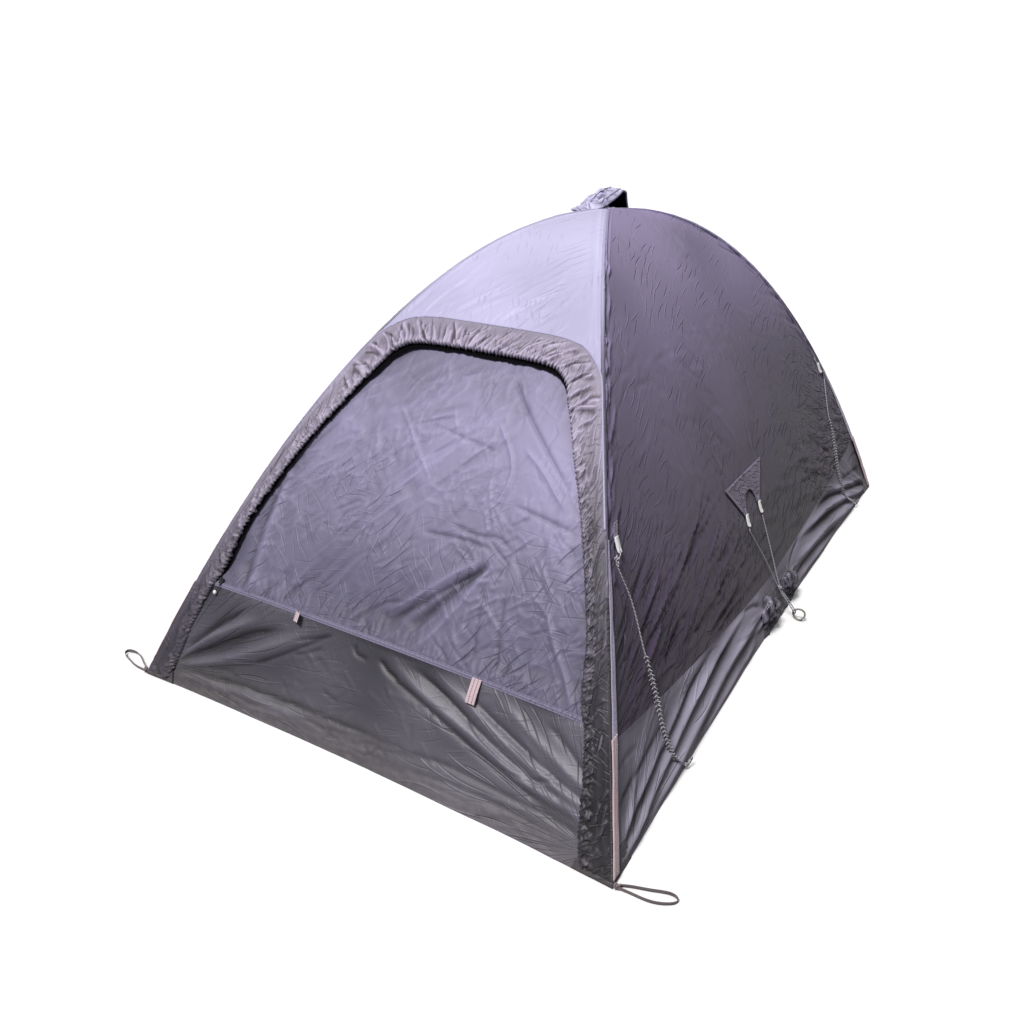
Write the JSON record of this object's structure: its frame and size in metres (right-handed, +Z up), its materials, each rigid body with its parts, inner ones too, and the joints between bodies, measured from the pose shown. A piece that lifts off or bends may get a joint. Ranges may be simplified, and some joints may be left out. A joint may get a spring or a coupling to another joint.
{
  "type": "mountain tent",
  "caption": "Wedge-shaped dome tent for two, with crossed poles inside, a tub floor, a zipped door with a gathered cuff, a hooded vent and guy lines.",
  "frame": {"origin": "on the ground at the middle of the floor", "axes": "+X to the right of a person who faces the door, +Y from the door end to the foot end, +Z up"},
  "size_m": [1.4232, 2.2728, 1.0509],
  "materials": {
    "canopy_fabric": "pale lilac coated nylon, crinkled",
    "wall_fabric": "grey-lilac coated nylon, crinkled",
    "tub_fabric": "dark coated nylon with a sheen",
    "cuff_fabric": "gathered mauve-grey nylon",
    "patch_fabric": "dark reinforcement fabric",
    "webbing": "flat woven webbing",
    "cord": "braided guy line",
    "plastic": "moulded white plastic",
    "alloy": "anodised aluminium"
  },
  "bodies": {
    "root": {"back_tub_wall": "tub_fabric", "back_wall": "canopy_fabric", "corner_patch_back_left": "patch_fabric", "corner_patch_back_right": "patch_fabric", "corner_patch_front_left": "patch_fabric", "corner_patch_front_right": "patch_fabric", "door_cuff": "cuff_fabric", "door_panel": "wall_fabric", "door_pull_left": "webbing", "door_pull_right": "webbing", "floor": "tub_fabric", "front_tub_wall": "tub_fabric", "front_wall": "canopy_fabric", "guy_cord_back_left": "cord", "guy_cord_back_right": "cord", "guy_cord_front_left": "cord", "guy_cord_front_right": "cord", "left_tub_wall": "tub_fabric", "left_wall": "wall_fabric", "line_lock_back_left": "plastic", "line_lock_back_right": "plastic", "line_lock_front_left": "plastic", "line_lock_front_right": "plastic", "peg_loop_back_left": "webbing", "peg_loop_back_right": "webbing", "peg_loop_front_left": "webbing", "peg_loop_front_right": "webbing", "pole_1": "alloy", "pole_2": "alloy", "ridge_strap_back_left": "webbing", "ridge_strap_back_right": "webbing", "ridge_strap_front_left": "webbing", "ridge_strap_front_right": "webbing", "ridge_tab_back_left": "webbing", "ridge_tab_back_right": "webbing", "ridge_tab_front_left": "webbing", "ridge_tab_front_right": "webbing", "right_tub_wall": "tub_fabric", "right_wall": "wall_fabric", "side_guy_cord_left": "cord", "side_guy_cord_right": "cord", "side_guy_patch_left": "patch_fabric", "side_guy_patch_right": "patch_fabric", "side_lock_left_back": "plastic", "side_lock_left_front": "plastic", "side_lock_right_back": "plastic", "side_lock_right_front": "plastic", "side_peg_tab_left": "patch_fabric", "side_peg_tab_right": "patch_fabric", "side_ring_left": "alloy", "side_ring_right": "alloy", "vent_hood": "canopy_fabric", "zip_slider": "plastic"}
  },
  "joints": []
}
